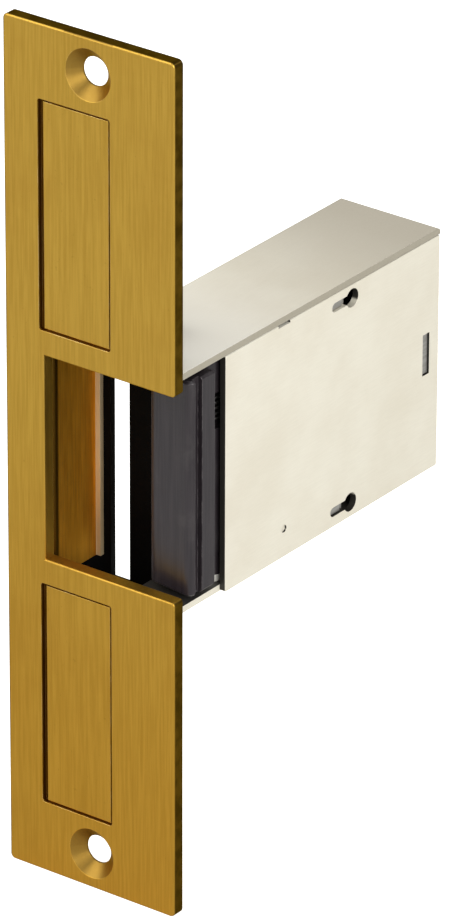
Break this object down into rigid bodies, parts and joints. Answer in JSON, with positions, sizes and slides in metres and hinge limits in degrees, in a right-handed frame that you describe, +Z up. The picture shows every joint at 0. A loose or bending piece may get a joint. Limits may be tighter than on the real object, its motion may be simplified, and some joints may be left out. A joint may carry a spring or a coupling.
{
  "type": "electric door strike",
  "caption": "Mortise electric door strike: brass faceplate with an open-sided latch pocket, black swinging keeper and a cream sheet-metal solenoid case behind.",
  "frame": {"origin": "centre of the faceplate's front face", "axes": "+Z up along the faceplate's length, +Y into the door jamb, +X to the right seen from the door, towards the side where the keeper opens"},
  "size_m": [0.0348, 0.0744, 0.156],
  "materials": {
    "satin_brass": "satin, fine vertical grain",
    "liner_brass": "dull satin",
    "case_cream": "pale cream plated sheet, low gloss",
    "black_strap": "semi-gloss black",
    "black_keeper": "semi-gloss black casting",
    "inner_steel": "plain mill finish",
    "ground_steel": "ground",
    "spring_steel": "dark spring wire",
    "zinc_fixings": "bright zinc",
    "bronze": "sintered bronze",
    "terminal_brass": "bright brass screw",
    "nylon": "natural nylon",
    "bobbin_nylon": "natural nylon",
    "copper_wire": "enamelled copper wire",
    "coil_tape": "amber polyester tape",
    "terminal_plastic": "black phenolic",
    "lead_sleeve": "red sleeving"
  },
  "bodies": {
    "case": {"faceplate": "satin_brass", "faceplate_studs": "inner_steel", "faceplate_nuts": "zinc_fixings", "pocket_liner": "liner_brass", "pocket_strap": "black_strap", "case_shell": "case_cream", "side_cover": "case_cream", "cover_catches": "inner_steel", "keeper_pin": "ground_steel", "keeper_washers": "nylon", "keeper_spring": "spring_steel", "lever_pin": "ground_steel", "lever_spacers": "inner_steel", "plunger_spring": "spring_steel", "solenoid_yoke": "inner_steel", "bobbin": "bobbin_nylon", "winding": "copper_wire", "coil_wrap": "coil_tape", "pole_piece": "ground_steel", "solenoid_screws": "zinc_fixings", "terminal_block": "terminal_plastic", "terminal_plates": "bronze", "terminal_screws": "terminal_brass", "terminal_rivets": "bronze", "coil_leads": "lead_sleeve"},
    "keeper": {"keeper": "black_keeper", "keeper_bushes": "bronze"},
    "lever": {"locking_lever": "inner_steel"},
    "plunger": {"plunger": "ground_steel", "plunger_pin": "ground_steel", "plunger_clip": "spring_steel"}
  },
  "joints": [
    {"name": "keeper_swing", "type": "hinge", "parent": "case", "child": "keeper", "pos_m": [0.0112, 0.0162, 0], "axis": [0, 0, 1], "range_deg": [0, 50], "stiffness_Nm_per_rad": 0.02, "springref_deg": -20.05, "deforming": ["keeper_spring"]},
    {"name": "lever_swing", "type": "hinge", "parent": "case", "child": "lever", "pos_m": [0.0006, 0.0295, 0], "axis": [0, 0, 1], "range_deg": [-15.5, 0]},
    {"name": "plunger_slide", "type": "slide", "parent": "case", "child": "plunger", "axis": [0, 1, 0], "range_m": [-0.00169, 0], "deforming": ["plunger_spring"]}
  ],
  "couplings": [
    {"joint": "lever_swing", "follows": "plunger_slide", "rad_per_m": 154.75}
  ]
}
